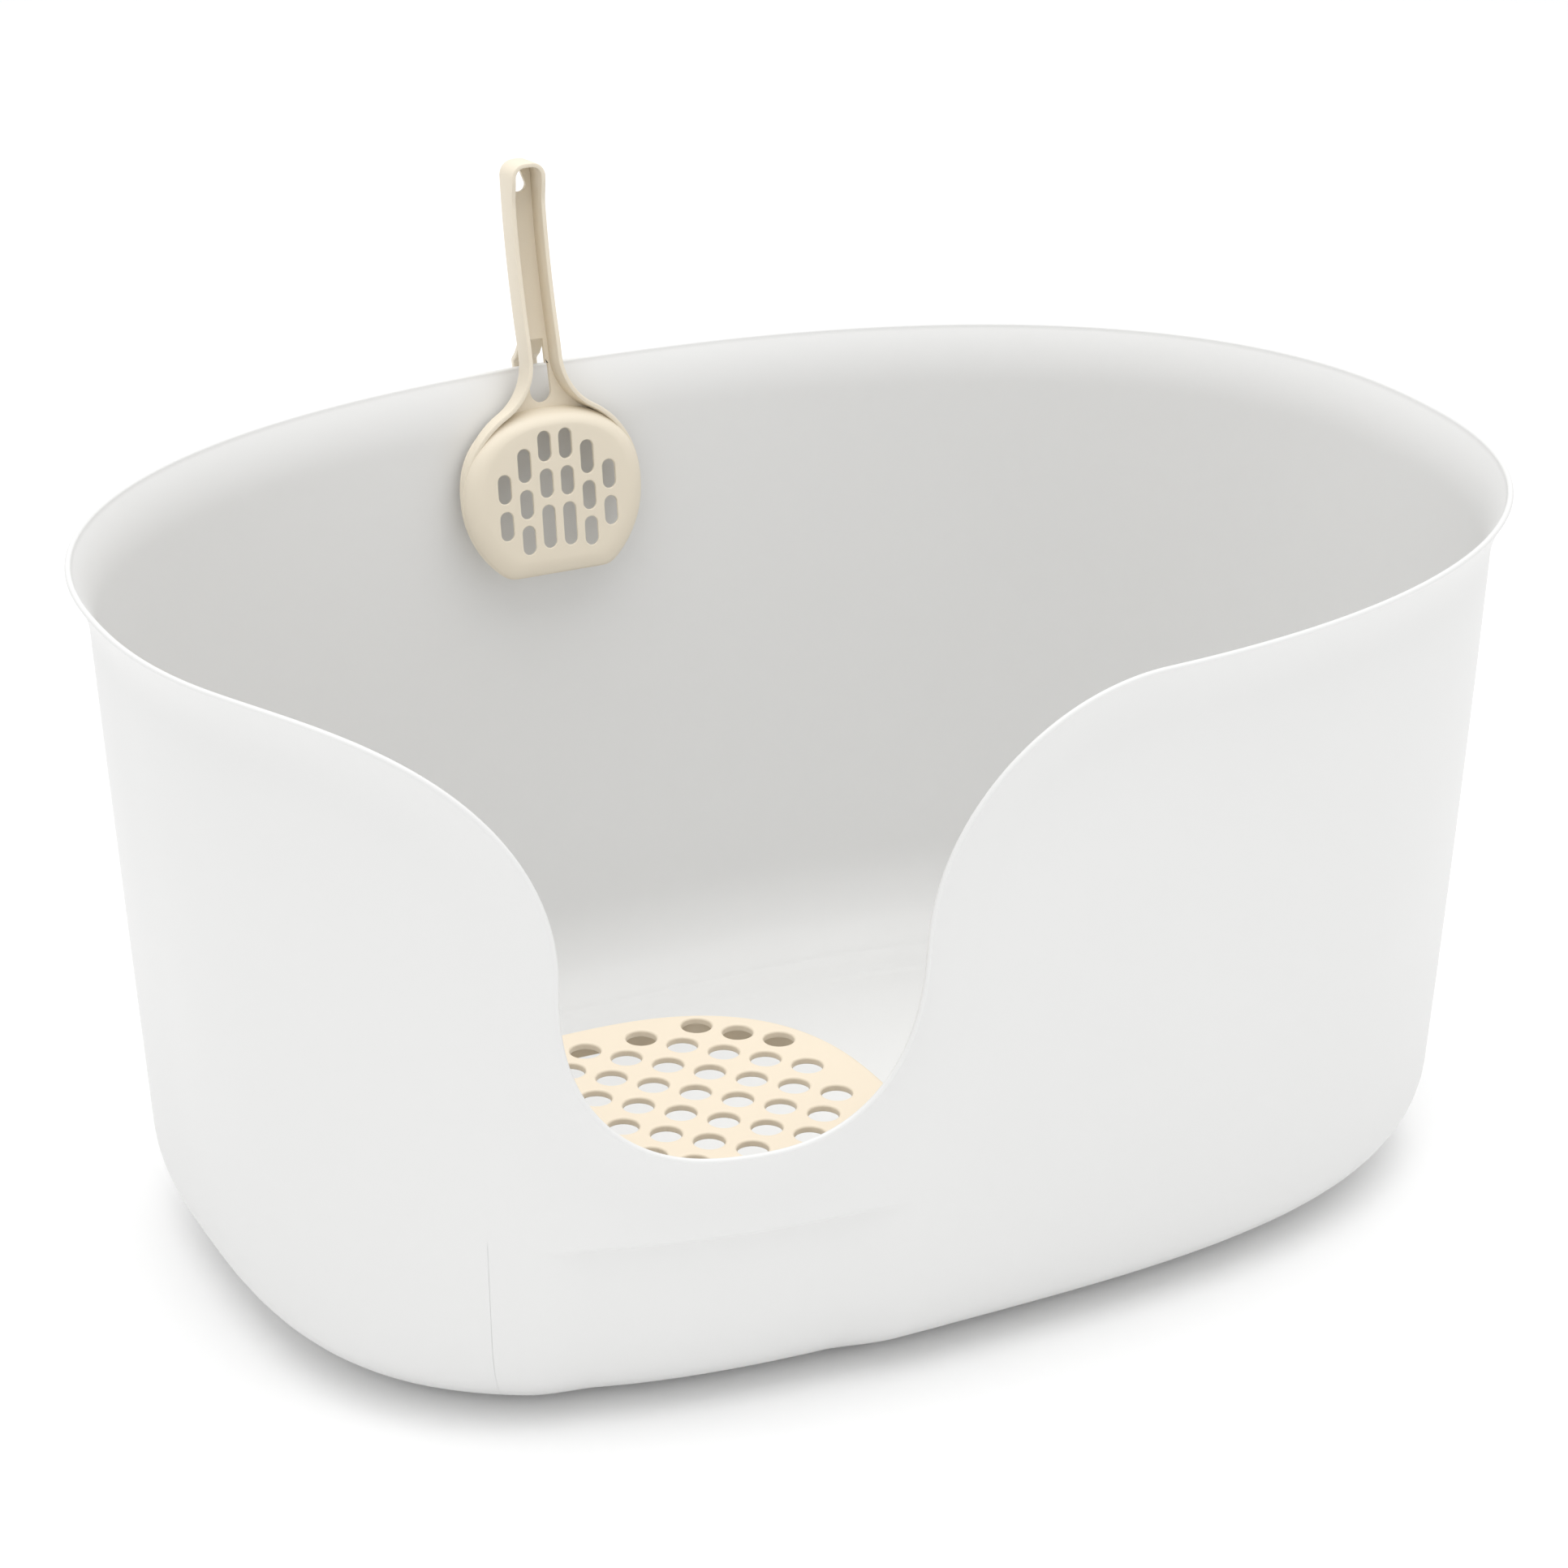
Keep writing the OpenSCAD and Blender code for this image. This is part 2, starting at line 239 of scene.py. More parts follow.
def fill_between(loops, spacing):
    """Triangles of the flat area inside the first loop and outside the others.

    Returns the extra points of a square grid, kept clear of the loops, and the triangles.
    """
    flat = np.concatenate(loops)
    owner = np.repeat(np.arange(len(loops)), [len(loop) for loop in loops])
    edges, start = [], 0
    for loop in loops:
        index = start + np.arange(len(loop))
        edges += np.stack([index, np.roll(index, -1)], axis=1).tolist()
        start += len(loop)
    extra = grid_inside(loops, spacing)
    both = np.concatenate([flat, extra])
    owner = np.concatenate([owner, np.full(len(extra), -1)])
    result = delaunay_2d_cdt([Vector(p) for p in both.tolist()], edges, [], 0, 1e-7)
    if len(result[0]) != len(both):
        raise RuntimeError("the loops of a plate cross or touch")
    origin = np.array([o[0] for o in result[3]])
    triangles = origin[np.array(result[2])]
    kept = inside(both[triangles].mean(axis=1), loops[0])
    for k, loop in enumerate(loops[1:], 1):
        kept &= (owner[triangles] != k).any(axis=1)
    return extra, triangles[kept]


def inside(points, loop):
    """Which points lie inside a closed loop: the crossings of a ray to the right are odd."""
    a, b = loop[None], np.roll(loop, -1, axis=0)[None]
    x, y = points[:, :1], points[:, 1:]
    straddles = (a[..., 1] > y) != (b[..., 1] > y)
    rise = np.where(straddles, b[..., 1] - a[..., 1], 1.0)
    crossing = a[..., 0] + (y - a[..., 1]) * (b[..., 0] - a[..., 0]) / rise
    return (straddles & (x < crossing)).sum(axis=1) % 2 == 1


def grid_inside(loops, spacing):
    """Points of a square grid inside the first loop, at least half a step from every loop."""
    low, high = loops[0].min(axis=0), loops[0].max(axis=0)
    axes = [np.arange(low[k] + spacing / 2, high[k], spacing) for k in range(2)]
    grid = np.stack(np.meshgrid(*axes), axis=-1).reshape(-1, 2)
    grid = grid[inside(grid, loops[0])]
    for loop in loops[1:]:
        grid = grid[~inside(grid, loop)]
    edges = np.concatenate(loops)
    nearest = np.array([np.hypot(*(edges - p).T).min() for p in grid])
    return grid[nearest > spacing / 2]


def plate(sides, spacing=4 * MM):
    """A closed plate from the grids of its outer edge and of its holes.

    Each grid's first row bounds the upper face and its last row the lower face, and the
    two faces are filled with triangles between those rows.
    """
    points = [side.reshape(-1, 3) for side in sides]
    quads, caps, start = [], [], 0
    rims = {0: [], -1: []}
    for side in sides:
        rows, columns = side.shape[:2]
        quads.append(grid_quads(rows, columns, start))
        rims[0].append(start + np.arange(columns))
        rims[-1].append(start + (rows - 1) * columns + np.arange(columns))
        start += rows * columns
    quads = np.concatenate(quads)
    for row, rim in rims.items():
        extra, triangles = fill_between([side[row, :, :2] for side in sides], spacing)
        index = np.concatenate([*rim, start + np.arange(len(extra))])
        level = np.full((len(extra), 1), sides[0][row, 0, 2])
        points.append(np.concatenate([extra, level], axis=1))
        start += len(extra)
        caps.append(index[triangles])
    points = np.concatenate(points)
    return points, [quads] + [aligned(points, cap, quads) for cap in caps]


def aligned(points, triangles, quads):
    """Winds a flat cap's triangles against the side quads along their shared edges."""
    a, b, c = (points[triangles[:, k], :2] for k in range(3))
    turn = (b - a)[:, 0] * (c - a)[:, 1] - (b - a)[:, 1] * (c - a)[:, 0]
    triangles = np.where(turn[:, None] < 0, triangles[:, ::-1], triangles)
    size = len(points)

    def keys(faces):
        return (faces * size + np.roll(faces, -1, axis=1)).ravel()

    same = np.isin(keys(triangles), keys(quads)).any()
    return triangles[:, ::-1] if same else triangles


def arc(centre, radius, start, end, steps):
    """Points on an arc, angles in degrees."""
    angle = np.radians(np.linspace(start, end, steps))
    return np.stack([centre[0] + radius * np.cos(angle), centre[1] + radius * np.sin(angle)], 1)


def signed_power(value, power):
    """|value| to a power, with the sign of the value."""
    return np.sign(value) * np.abs(value) ** power


def smooth_step(value):
    """0 below 0, 1 above 1, and a smooth S between."""
    t = np.clip(value, 0.0, 1.0)
    return t * t * (3.0 - 2.0 * t)


def unit(vectors):
    """Vectors scaled to length one."""
    return vectors / np.linalg.norm(vectors, axis=-1, keepdims=True)


def evenly(path, step, closed=False):
    """Resamples a path at equal steps along its length."""
    if closed:
        path = np.concatenate([path, path[:1]])
    gap = np.linalg.norm(np.diff(path, axis=0), axis=1)
    keep = np.r_[True, gap > 1e-9]
    path, along = path[keep], np.r_[0.0, np.cumsum(gap[gap > 1e-9])]
    count = max(4, int(round(along[-1] / step)))
    at = np.linspace(0.0, along[-1], count + 1)
    out = np.stack([np.interp(at, along, path[:, k]) for k in range(path.shape[1])], axis=1)
    return out[:-1] if closed else out


# ---------------------------------------------------------------------------
# Tub

RIM_POWER = 2.25
FOOT_POWER = 2.9
LOW_POWER = 0.8
FLARE_POWER = 2.1
# Height of the step between the recessed panel and the wall above the ledge
LEDGE_STEP = 4.5 * MM
# Two low beads round the floor: distance in from the wall, height and half width
FOOT_BEADS = ((25.5 * MM, 1.1 * MM, 2.0 * MM), (38.5 * MM, 0.5 * MM, 2.5 * MM))


class Wall:
    """The tub's outer wall.

    At each height it is a superellipse |x/a|^n + |y/b|^n = 1, whose half axes a and b and
    exponent n change evenly from the foot to the rim.
    """

    def __init__(self, size, floor_z):
        self.size = size
        self.base = floor_z
        self.top_a = size.length / 2 - size.lip
        self.top_b = size.depth / 2 - size.lip

    def shape(self, z):
        rise = (z - self.base) / (self.size.height - self.base)
        inset = self.size.draft * (1.0 - rise)
        return self.top_a - inset, self.top_b - inset, FOOT_POWER + (RIM_POWER - FOOT_POWER) * rise

    def polar(self, angle, z):
        """The wall point in a direction seen from above."""
        a, b, n = self.shape(z)
        c, s = np.cos(angle), np.sin(angle)
        r = (np.abs(c / a) ** n + np.abs(s / b) ** n) ** (-1.0 / n)
        return np.stack(np.broadcast_arrays(r * c, r * s, z), axis=-1)

    def front(self, x, z):
        """The front wall's point over a given x."""
        a, b, n = self.shape(z)
        q = np.minimum(np.abs(x) / a, 0.999)
        return np.stack(np.broadcast_arrays(x, -b * (1.0 - q ** n) ** (1.0 / n), z), axis=-1)

    def normal(self, point):
        """The horizontal unit normal of the superellipse through a point."""
        a, b, n = self.shape(point[..., 2])
        gx = signed_power(point[..., 0] / a, n - 1.0) / a
        gy = signed_power(point[..., 1] / b, n - 1.0) / b
        return unit(np.stack([gx, gy, np.zeros_like(gx)], axis=-1))


def entry_outline(size):
    """The entry's edge seen from the front: x, z and the unit direction into the wall.

    Below, a superellipse arc from side to side; above, a quarter ellipse on each side that
    turns the upright side into the level rim.
    """
    rise = size.height - size.shoulder_z
    drop = size.shoulder_z - size.entry_z
    run = size.shoulder_half - size.entry_half
    turn = np.radians(np.linspace(90.0, 0.0, 46))
    x = size.entry_half + run * (1.0 - np.cos(turn))
    z = size.shoulder_z + rise * np.sin(turn)
    inward = unit(np.stack([np.cos(turn) / run, -np.sin(turn) / rise], axis=1))
    low = np.radians(np.linspace(-90.0, 90.0, 145))
    low_x = size.entry_half * signed_power(np.sin(low), LOW_POWER)
    low_z = size.shoulder_z - drop * np.abs(np.cos(low)) ** LOW_POWER
    low_in = unit(np.stack([signed_power(np.sin(low), 2 - LOW_POWER) / size.entry_half,
                            -np.abs(np.cos(low)) ** (2 - LOW_POWER) / drop], axis=1))
    left = np.column_stack([-x, z, -inward[:, 0], inward[:, 1]])
    right = np.column_stack([x, z, inward])[::-1]
    middle = np.column_stack([low_x, low_z, low_in])
    edge = np.concatenate([left[1:], middle[1:], right[1:-1]])
    edge[:, 0] += size.entry_x
    return edge


def edge_profile(size):
    """The section of the rim: distance in from the edge, distance out from the wall.

    The outer face swings out as lip * ((band - s) / (band - r)) ** 2.1, the inner face keeps
    the wall's thickness behind it, and a half circle of radius r closes the edge.
    """
    r = size.wall / 2

    def flare(s):
        return (size.lip - 0.25 * MM) * ((size.flare - s) / (size.flare - r)) ** FLARE_POWER

    down = np.linspace(size.flare, r, 22)
    outer = np.stack([down, flare(down)], axis=1)
    turn = np.radians(np.linspace(15.0, 165.0, 11))
    edge = np.stack([r * (1 - np.sin(turn)), flare(r) - r * (1 - np.cos(turn))], axis=1)
    up = down[::-1]
    inner = np.stack([up, flare(up) - size.wall], axis=1)
    return np.concatenate([outer, edge, inner])


def lower_rows(size, base, top_z):
    """Height, inset and panel share of the rows under the flared band, for each column.

    Two lists: the outer face from the underside up, and the inner face down to the floor.

    The foot is a quarter circle, with two low beads exp(-(d / w)^2) on its inner side. The
    recessed panel ends in a short step at the ledge, and the wall runs straight from there
    to the band.
    """
    turn = np.radians(np.linspace(90.0, 0.0, 15))
    step = np.linspace(-LEDGE_STEP, 0.0, 7)
    ones = np.ones_like(top_z)

    def straight(inset, radius, ledge):
        """The rows from the foot's upper end to the band, upwards."""
        rows = []
        for share in (0.35, 0.7):
            low, high = base + radius, ledge + step[0]
            rows.append((ones * (low + share * (high - low)), inset * ones, ones))
        for offset in step:
            rows.append((ones * (ledge + offset), inset * ones,
                         ones * (1 - smooth_step((offset - step[0]) / -step[0]))))
        for share in (0.1, 0.25, 0.4, 0.55, 0.7, 0.85, 0.95):
            rows.append((size.ledge_z + share * (top_z - size.ledge_z), inset * ones, 0 * ones))
        return rows

    radius = size.foot_radius
    outer = [(ones * (base + radius * (1 - np.sin(angle))),
              radius * (1 - np.cos(angle)) * ones, ones) for angle in turn]
    outer += straight(0.0, radius, size.ledge_z)
    radius = size.foot_radius - size.wall
    inner = straight(size.wall, radius, size.ledge_z + size.wall * 0.6)[::-1]
    reach = np.concatenate([radius * (1 - np.cos(turn[:6:-1])),
                            np.arange(FOOT_BEADS[0][0] - 5 * MM, radius, 1.0 * MM), [radius]])
    rise = radius - np.sqrt(radius ** 2 - (radius - reach) ** 2)
    for middle, high, wide in FOOT_BEADS:
        rise += high * np.exp(-((reach - middle) / wide) ** 2)
    for inset, height in zip(reach, rise):
        inner.append((ones * (base + size.wall + height), (size.wall + inset) * ones, ones))
    return outer, inner


def tub_shell(size, base):
    """The tub as one closed surface: columns round the plan, rows along the section."""
    wall = Wall(size, base)
    profile = edge_profile(size)
    start = wall.front(size.entry_x + size.shoulder_half, size.height)
    end = wall.front(size.entry_x - size.shoulder_half, size.height)
    first, last = math.atan2(start[1], start[0]), math.atan2(end[1], end[0]) + 2 * math.pi
    angles = np.linspace(first, last, 341)
    entry = entry_outline(size)
    in_from_edge, out = profile[:, :1], profile[:, 1:, None]
    plain = wall.polar(angles[None], size.height - in_from_edge)
    cut = wall.front(entry[:, 0] + in_from_edge * entry[:, 2],
                     entry[:, 1] + in_from_edge * entry[:, 3])
    rim = np.concatenate([plain, cut], axis=1)
    low_point = rim[-1]
    edge_rows = rim + out * wall.normal(rim)
    angle = np.arctan2(low_point[:, 1], low_point[:, 0])
    outer, inner = lower_rows(size, base, low_point[:, 2])

    def lower(row):
        height, inset, share = row
        point = wall.polar(angle, height)
        inside = size.panel_half + size.panel_side / 2 - np.abs(point[:, 0] - size.entry_x)
        front = point[:, 1] < 0
        depth = inset + size.panel_depth * share * smooth_step(inside / size.panel_side) * front
        return point - depth[:, None] * wall.normal(point)

    sheet = np.concatenate([np.stack([lower(row) for row in outer]), edge_rows,
                            np.stack([lower(row) for row in inner])])
    return close_ends(sheet, size, base)


def close_ends(sheet, size, base):
    """Adds shrinking rings for the underside and the floor, and closes each with a point."""
    shrink = np.array([0.04, 0.2, 0.4, 0.6, 0.8, 0.93, 0.98])[:, None, None]
    scale = np.array([1.0, 1.0, 0.0])
    under = sheet[0] * (shrink * scale) + np.array([0, 0, base])
    floor = sheet[-1] * (shrink[::-1] * scale) + np.array([0, 0, base + size.wall])
    sheet = np.concatenate([under, sheet, floor])
    rows, columns = sheet.shape[:2]
    points = np.concatenate([sheet.reshape(-1, 3), [[0, 0, base], [0, 0, base + size.wall]]])
    quads = grid_quads(rows, columns)
    ring = np.arange(columns)
    nxt = np.roll(ring, -1)
    pole = rows * columns
    under_fan = np.stack([np.full(columns, pole), nxt, ring], axis=1)
    last = (rows - 1) * columns
    floor_fan = np.stack([np.full(columns, pole + 1), last + ring, last + nxt], axis=1)
    return points, [quads, under_fan, floor_fan]


# ---------------------------------------------------------------------------
# Step grate

# Holes in each row, from the rear row to the front one
GRATE_ROWS = (5, 6, 7, 6, 7, 6, 7, 6, 5)
FIRST_ROW = 17.4 * MM
GRATE_POWER = 2.6
REAR_Y = -23 * MM
SIDE_Y = -113 * MM
WALL_GAP = 1.2 * MM
# In front of this the skirt ends just above the tub's ledge
FRONT_Y = -128 * MM
FRONT_FADE = 8 * MM
LEDGE_RISE = 2 * MM
SKIRT_WALL = 2.2 * MM
PLATE_EDGE = 2.2 * MM
OUTLINE_STEP = 2 * MM
OUTLINE_PASSES = 16
LEFT_LEG = (-78 * MM, -45 * MM)
# Half a leg's width, in steps of the outline
LEG_STEPS = 4


def grate_outline(size, tub):
    """The grate seen from above: a half superellipse behind, and the tub's wall in front."""
    wall = Wall(tub, TUB_LOW.z)
    half = size.half
    turn = np.radians(np.linspace(0.0, 180.0, 400))
    rear = np.stack([tub.entry_x + half * signed_power(np.cos(turn), 2 / GRATE_POWER),
                     SIDE_Y + (REAR_Y - SIDE_Y) * np.sin(turn) ** (2 / GRATE_POWER)], axis=1)
    x = tub.entry_x + half * np.linspace(-1.0, 1.0, 200)
    on_wall = wall.front(x, tub.ledge_z + 0.5 * MM)
    front = on_wall[:, 1] - (tub.wall + WALL_GAP) / wall.normal(on_wall)[:, 1]
    front = np.stack([x, front], axis=1)
    outline = evenly(np.concatenate([rear, front]), OUTLINE_STEP, closed=True)
    return rounded(outline, OUTLINE_PASSES)


def rounded(loop, passes):
    """Softens the corners of a closed loop by averaging neighbours."""
    for _ in range(passes):
        loop = (np.roll(loop, 1, axis=0) + 2 * loop + np.roll(loop, -1, axis=0)) / 4
    return loop


def grate_holes(size, tub):
    """Hole centres on a square lattice turned by 45 degrees."""
    half_step = size.pitch / math.sqrt(2)
    centres = [(tub.entry_x + (2 * i - count + 1) * half_step, REAR_Y - FIRST_ROW - r * half_step)
               for r, count in enumerate(GRATE_ROWS) for i in range(count)]
    return np.array(centres)


def grate_shells(size, tub):
    """The perforated plate with its skirt, and two legs that reach down to the tub's floor.

    The section of the edge is a quarter circle, the skirt with chamfered corners, and a small
    fillet under the plate. Each hole has a rounded upper edge and a chamfered lower one.
    """
    top, under = size.top, size.top - size.thick
    bend = np.radians(np.linspace(90.0, 0.0, 8))
    low = size.top - size.skirt
    shoulder = np.stack([PLATE_EDGE * (np.cos(bend) - 1),
                         top - PLATE_EDGE * (1 - np.sin(bend))], axis=1)
    corner, fillet = 0.5 * MM, 0.8 * MM
    rest = np.array([[0, low + corner], [-corner, low], [corner - SKIRT_WALL, low],
                     [-SKIRT_WALL, low + corner], [-SKIRT_WALL, under - fillet],
                     [-SKIRT_WALL - fillet, under]])
    outline = grate_outline(size, tub)
    outer = carried(outline, loop_normals(outline), np.concatenate([shoulder, rest]))
    in_front = smooth_step((FRONT_Y + FRONT_FADE - outline[:, 1]) / FRONT_FADE)
    lowest = low + (tub.ledge_z + LEDGE_RISE - low) * in_front
    outer[:, :, 2] = np.maximum(outer[:, :, 2], lowest)
    ring = np.radians(np.arange(0.0, 360.0, 7.5))
    circle = np.stack([np.cos(ring), np.sin(ring)], axis=1)
    r, edge = size.hole / 2, size.edge
    rim = np.stack([r + edge * (1 - np.cos(bend)), top - edge * (1 - np.sin(bend))], axis=1)
    chamfer = 0.4 * MM
    foot = np.array([[r, under + chamfer], [r + chamfer, under]])
    section = np.concatenate([rim, foot])
    bores = [carried(centre[None], circle, section) for centre in grate_holes(size, tub)]
    legs = ((tub.entry_x + LEFT_LEG[0], LEFT_LEG[1]), (tub.entry_x + size.half, SIDE_Y))
    return [plate([outer] + bores)] + [grate_leg(outline, middle, under) for middle in legs]


def grate_leg(outline, middle, high):
    """A leg: a stretch of the skirt about a middle point, carried on down to the floor."""
    low, sunk = GRATE_LOW.z, 0.05 * MM
    nearest = np.argmin(np.hypot(*(outline - middle).T))
    count = 2 * LEG_STEPS + 1
    line = np.roll(outline, LEG_STEPS - nearest, axis=0)[:count]
    inward = -np.roll(loop_normals(outline), LEG_STEPS - nearest, axis=0)[:count]
    loop = np.concatenate([line + inward * sunk, (line + inward * (SKIRT_WALL + sunk))[::-1]])
    loop = rounded(evenly(loop, 1.0 * MM, closed=True), 1)
    normals = loop_normals(loop)
    turned = np.sum((loop - loop.mean(axis=0)) * normals) < 0
    normals = -normals if turned else normals
    profile = np.array([[0, high], [0, low + 0.5 * MM], [-0.4 * MM, low]])
    return plate([carried(loop, normals, profile)])


# ---------------------------------------------------------------------------
# Scoop, drawn flat in metres: x across, y up from the dish's lower edge, z to the front

# The dish: height of its middle, rise above that, exponent of its upper outline, fall of its
# face per metre below the deepest place, and the angle at which the flat lip cuts the circle
DISH_Y = 36 * MM
DISH_TOP = 38 * MM
DISH_POWER = 2.4
DISH_SLOPE = 0.12
CUT_ANGLE = 56.0
DISH_DEEPEST = 71 * MM
# The tub's rim lies at this height, and the handle's bend starts just above it
RIM_LEVEL = 90 * MM
NECK_TOP = 97 * MM
FLARE_R = 26 * MM
HANDLE_END = 6.5 * MM
# The handle leans back by this angle above the neck, then straightens by the second one
HANDLE_KINK = math.radians(5.7)
HANDLE_BEND = math.radians(15.0)
SLOT_R = 3.15 * MM
SLOT_STEP = 10 * MM
# Column offset in steps of 10 mm, middle height and length of each slot, in millimetres
SLOTS = ((0.5, 57.8, 13.5), (0.5, 41.3, 13.0), (0.5, 22.0, 19.3), (1.5, 50.4, 15.0),
         (1.5, 33.2, 13.0), (1.5, 17.2, 13.0), (2.5, 41.3, 13.0), (2.5, 24.9, 13.0))


def dish_loop(size):
    """The dish's outline: a superellipse arc above, a circle cut off by a flat lip below."""
    half = size.dish
    turn = np.radians(np.linspace(0.0, 180.0, 300))
    upper = np.stack([half * signed_power(np.cos(turn), 2 / DISH_POWER),
                      DISH_Y + DISH_TOP * np.sin(turn) ** (2 / DISH_POWER)], axis=1)
    left = arc((0.0, DISH_Y), half, 182.0, 180.0 + CUT_ANGLE, 40)
    lower = np.concatenate([left, (left * (-1, 1))[::-1]])
    loop = evenly(np.concatenate([upper, lower]), 1.2 * MM, closed=True)
    return rounded(loop, 8)


def slot_loops():
    """Long rounded slots: two straight sides and two half circles."""
    loops = []
    for side in (-1, 1):
        for step, middle, long in SLOTS:
            centre = np.array([side * step * SLOT_STEP, middle * MM])
            reach = long * MM / 2 - SLOT_R
            upper = arc(centre + (0, reach), SLOT_R, 0, 180, 13)
            lower = arc(centre - (0, reach), SLOT_R, 180, 360, 13)
            loops.append(np.concatenate([upper, lower]))
    return loops


def dish_shell(size):
    """The dish, hollow behind: a slotted floor whose edge curves back to a thin rim.

    The side is the outline shrunk towards the dish's middle, by a share that grows with a
    power of a sine, while the height falls with a power of the cosine.
    """
    rim = dish_loop(size)
    centre = np.array([[0.0, DISH_Y]])
    deep, thick, lip_rise = size.deep, size.thick, 1.6 * MM
    turn = np.linspace(0.0, math.pi / 2, 16)
    shrink = 0.80 + 0.195 * np.sin(turn) ** 1.25
    rise = lip_rise + (deep - lip_rise) * np.cos(turn) ** 0.85
    outer = np.stack([shrink, rise], axis=1)
    lip = np.array([[1.0, 1.3 * MM], [1.0, 0.5 * MM], [0.992, 0.1 * MM]])
    inner_shrink = 0.955 - (0.955 - 0.775) * np.sin(turn) ** 1.1
    inner_rise = (deep - thick) * (1.0 - np.cos(turn) ** 1.3)
    inner = np.stack([inner_shrink, np.maximum(inner_rise, 0.0)], axis=1)
    sides = [carried(centre, rim - centre, np.concatenate([outer, lip, inner]))]
    bend = np.radians(np.linspace(90.0, 0.0, 5))
    edge = 0.45 * MM
    upper = np.stack([edge * (np.cos(bend) - 1), deep - edge * (1 - np.sin(bend))], axis=1)
    lower = np.array([[0, deep - thick + 0.3 * MM], [-0.3 * MM, deep - thick]])
    for loop in slot_loops():
        sides.append(carried(loop, -loop_normals(loop), np.concatenate([upper, lower])))
    points, faces = plate(sides, 2.5 * MM)
    shallower = DISH_SLOPE * np.clip(DISH_DEEPEST - points[:, 1], 0.0, None) / deep
    raised = smooth_step((points[:, 2] - 0.5 * MM) / (3.0 * MM))
    points[:, 2] *= 1.0 - shallower * raised
    return points, faces


def side_path(size):
    """The right edge from the dish's side, over the neck's hollow curve, up the handle."""
    half = size.handle / 2
    reach = size.dish + FLARE_R
    up = math.sqrt(reach ** 2 - (half + FLARE_R) ** 2)
    meet = math.degrees(math.atan2(up, half + FLARE_R))
    flare_y = DISH_Y + up
    dish = arc((0.0, DISH_Y), size.dish, -14.0, meet, 60)
    neck = arc((half + FLARE_R, flare_y), FLARE_R, 180.0 + meet, 180.0, 40)
    top_y = NECK_TOP + size.reach
    shaft = np.array([[half, flare_y], [half, top_y - HANDLE_END]])
    corner = arc((half - HANDLE_END, top_y - HANDLE_END), HANDLE_END, 0.0, 90.0, 14)
    return dish, np.concatenate([neck, shaft, corner])


def wall_height(size, y):
    """Height of the side wall: low round the dish, full on the handle, more at its top."""
    lowest = 2.0 * MM
    fade = smooth_step((y - 24 * MM) / (66 * MM))
    top_y = NECK_TOP + size.reach
    swell = 2.2 * MM * smooth_step((y - top_y + 20 * MM) / (14 * MM))
    return lowest + (size.channel - lowest) * fade + swell


def band_shell(size):
    """The raised wall along the whole outline, as a closed tube of rectangular section."""
    dish, upper = side_path(size)
    right = np.concatenate([dish, upper])
    path = evenly(np.concatenate([right, (right * (-1, 1))[::-1]]), 1.1 * MM)
    along = unit(np.gradient(path, axis=0))
    inward = np.stack([-along[:, 1], along[:, 0]], axis=1)
    high = wall_height(size, path[:, 1])
    t, e = size.thick * 0.92, 0.5 * MM
    zero = np.zeros_like(high)
    section = [(zero + 0.02 * MM, zero + e), (zero, high - e), (zero + 0.15 * MM, high - 0.15 * MM),
               (zero + e, high), (zero + t - e, high), (zero + t - 0.15 * MM, high - 0.15 * MM),
               (zero + t, high - e), (zero + t + 0.3 * MM, zero + e), (zero + t, zero),
               (zero + e, zero)]
    rows = [np.column_stack([path + off[:, None] * inward, z]) for off, z in section]
    tube = np.stack(rows, axis=1)
    count, ring = tube.shape[:2]
    points = tube.reshape(-1, 3)
    quads = grid_quads(count, ring)
    start_cap = np.arange(ring)[None, ::-1]
    end_cap = ((count - 1) * ring + np.arange(ring))[None]
    return points, [quads, start_cap, end_cap]


def back_shell(size):
    """The handle's and the neck's back, with the hanging hole and the neck's slot."""
    dish, upper = side_path(size)
    side = dish[dish[:, 1] > DISH_Y + 28 * MM]
    right = np.concatenate([side, upper]) - (0.6 * MM, 0.0)
    turn = np.radians(np.linspace(136.0, 44.0, 60))
    hidden = 0.965
    foot = np.stack([hidden * size.dish * signed_power(np.cos(turn), 2 / DISH_POWER),
                     DISH_Y + hidden * DISH_TOP * np.sin(turn) ** (2 / DISH_POWER)], axis=1)
    outline = np.concatenate([foot, right, (right * (-1, 1))[::-1]])
    outline = evenly(outline, 1.2 * MM, closed=True)
    t = size.thick
    edge = np.array([[-0.2 * MM, t], [0, t - 0.2 * MM], [0, 0.3 * MM], [-0.3 * MM, 0]])
    normals = loop_normals(outline)
    sides = [carried(outline, normals, edge)]
    hole_y = NECK_TOP + size.reach - 9.5 * MM
    drop = np.concatenate([arc((0.0, hole_y - 1.5 * MM), 3.4 * MM, 180, 360, 17),
                           arc((0.0, hole_y + 3.2 * MM), 1.6 * MM, 15, 165, 9)])
    slot_w, step, window, top = 5.0 * MM, 92.6 * MM, 3.7 * MM, 103.5 * MM
    neck = np.concatenate([arc((0.0, 81.0 * MM), slot_w, 180, 360, 17),
                           [[slot_w, step], [window, step], [window, top], [-window, top],
                            [-window, step], [-slot_w, step]]])
    for loop in (evenly(drop, 0.8 * MM, closed=True), evenly(neck, 0.8 * MM, closed=True)):
        sides.append(carried(loop, -loop_normals(loop), edge))
    return plate(sides)


